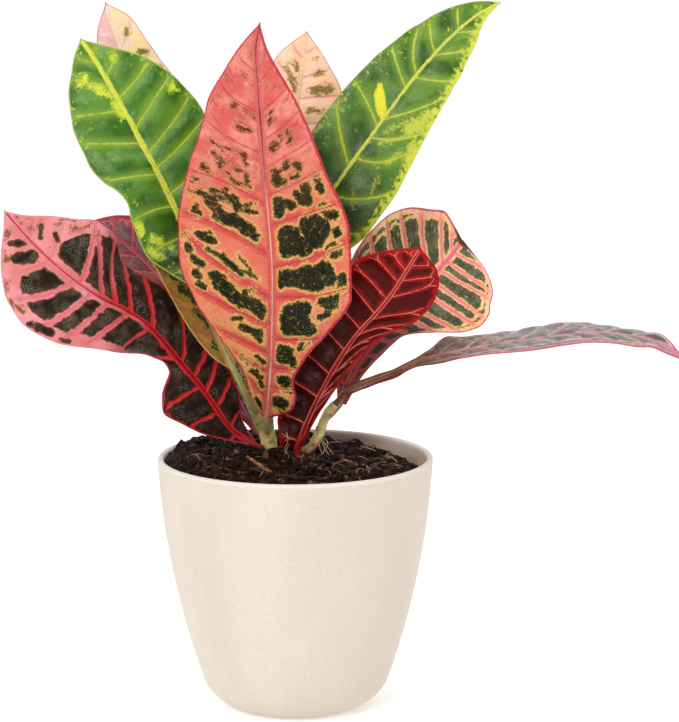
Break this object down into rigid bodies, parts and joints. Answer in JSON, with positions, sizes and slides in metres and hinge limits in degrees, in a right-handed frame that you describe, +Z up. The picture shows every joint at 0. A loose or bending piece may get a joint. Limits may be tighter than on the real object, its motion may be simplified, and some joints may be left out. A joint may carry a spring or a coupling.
{
  "type": "potted croton",
  "caption": "House plant in a tapered round pot: two stems with broad, variegated leaves standing in potting soil.",
  "frame": {"origin": "middle of the pot's flat underside, on the surface the pot stands on", "axes": "+Z up along the pot's axis, -Y towards the side the picture shows, +X to the viewer's right"},
  "size_m": [0.342, 0.1533, 0.3567],
  "materials": {
    "pot": "matt cream, finely speckled, moulded",
    "soil": "loose, moist, dark brown and fibrous",
    "twig": "dry bark",
    "stem_olive": "satin green bark with pale leaf scars",
    "stem_green": "satin yellow-green bark",
    "leaf_coral": "waxy coral with dark green blotches edged in yellow",
    "leaf_green": "glossy dark green with lime yellow veins and margin",
    "leaf_pale": "waxy peach with green patches",
    "leaf_maroon": "glossy maroon black with red and pink veins",
    "leaf_plum": "waxy plum with crimson margin and pink veins",
    "leaf_red": "satin dark red underside with raised pink veins",
    "leaf_stripe": "waxy, striped dark green, salmon pink and yellow",
    "leaf_dusk": "waxy dusky green with pink veins and margin"
  },
  "bodies": {
    "root": {"pot": "pot", "soil": "soil", "twig": "twig", "stem_left": "stem_olive", "stem_right": "stem_green", "leaf_front": "leaf_coral", "leaf_green_left": "leaf_green", "leaf_green_right": "leaf_green", "leaf_pale_left": "leaf_pale", "leaf_pale_back": "leaf_pale", "leaf_dark_left": "leaf_maroon", "leaf_plum_left": "leaf_plum", "leaf_red": "leaf_red", "leaf_stripe_right": "leaf_stripe", "leaf_long_right": "leaf_dusk"}
  },
  "joints": []
}
